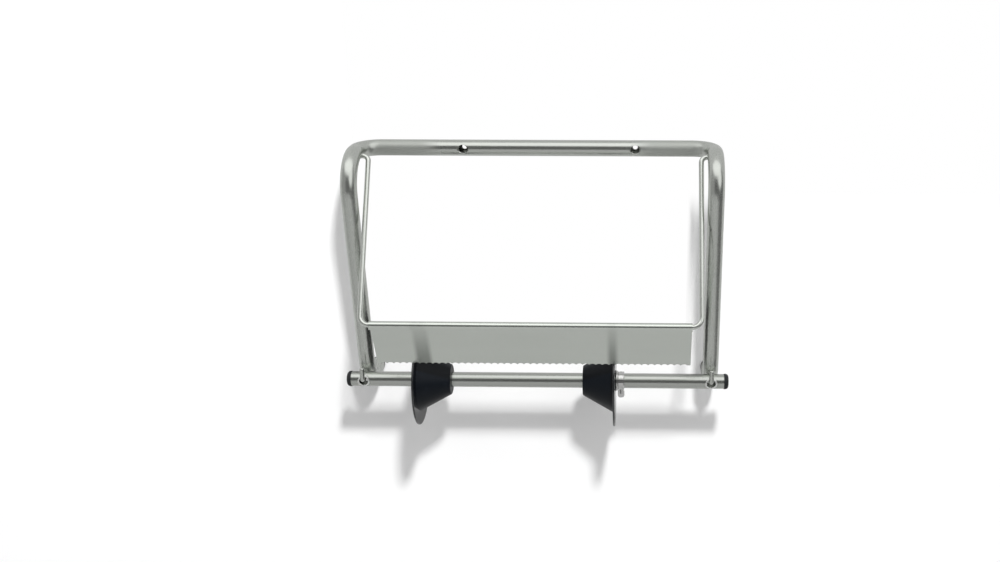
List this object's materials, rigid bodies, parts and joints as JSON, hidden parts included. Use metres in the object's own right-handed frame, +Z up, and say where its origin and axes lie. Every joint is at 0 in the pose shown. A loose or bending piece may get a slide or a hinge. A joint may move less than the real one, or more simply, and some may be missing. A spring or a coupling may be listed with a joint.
{
  "type": "wall-mounted paper roll dispenser",
  "caption": "Bent steel tube frame for a wall, with a hooked cross bar, roll cones with discs on the bar and a swinging wire frame with a toothed tear plate.",
  "frame": {"origin": "on the wall, midway between the two wall holes of the top tube", "axes": "+X along the top tube towards the clamp collar's side, +Y into the wall, +Z up"},
  "size_m": [0.3872, 0.1211, 0.2829],
  "materials": {
    "satin_steel": "satin",
    "plate_steel": "brushed",
    "bright_steel": "polished",
    "cone_plastic": "matte",
    "disc_plastic": "gloss",
    "cap_plastic": "matte"
  },
  "bodies": {
    "frame": {"frame_tube": "satin_steel", "left_hook_rod": "satin_steel", "right_hook_rod": "satin_steel", "left_foot_plug": "cap_plastic", "right_foot_plug": "cap_plastic", "cross_bar": "satin_steel", "left_bar_cap": "cap_plastic", "right_bar_cap": "cap_plastic", "left_stop_ring": "bright_steel"},
    "tear_frame": {"tear_wire": "satin_steel", "tear_plate": "plate_steel"},
    "left_cone_set": {"left_cone": "cone_plastic", "left_flange_disc": "disc_plastic"},
    "collar_set": {"clamp_collar": "bright_steel", "right_washer": "bright_steel"},
    "thumbscrew": {"collar_thumbscrew": "bright_steel"},
    "right_cone_set": {"right_cone": "cone_plastic", "right_flange_disc": "disc_plastic"}
  },
  "joints": [
    {"name": "tear_frame_swing", "type": "hinge", "parent": "frame", "child": "tear_frame", "pos_m": [-0.0125, -0.035, -0.003], "axis": [-1, 0, 0], "range_deg": [0, 150]},
    {"name": "left_cone_spin", "type": "hinge", "parent": "frame", "child": "left_cone_set", "pos_m": [-0.1305, -0.058, -0.2289], "axis": [1, 0, 0], "continuous": true},
    {"name": "collar_slide", "type": "slide", "parent": "frame", "child": "collar_set", "axis": [1, 0, 0], "range_m": [-0.09, 0.06]},
    {"name": "thumbscrew_turn", "type": "hinge", "parent": "collar_set", "child": "thumbscrew", "pos_m": [0.07245, -0.058, -0.2389], "axis": [0, 0, -1], "range_deg": [0, 360]},
    {"name": "right_cone_spin", "type": "hinge", "parent": "collar_set", "child": "right_cone_set", "pos_m": [0.0649, -0.058, -0.2289], "axis": [1, 0, 0], "continuous": true}
  ]
}
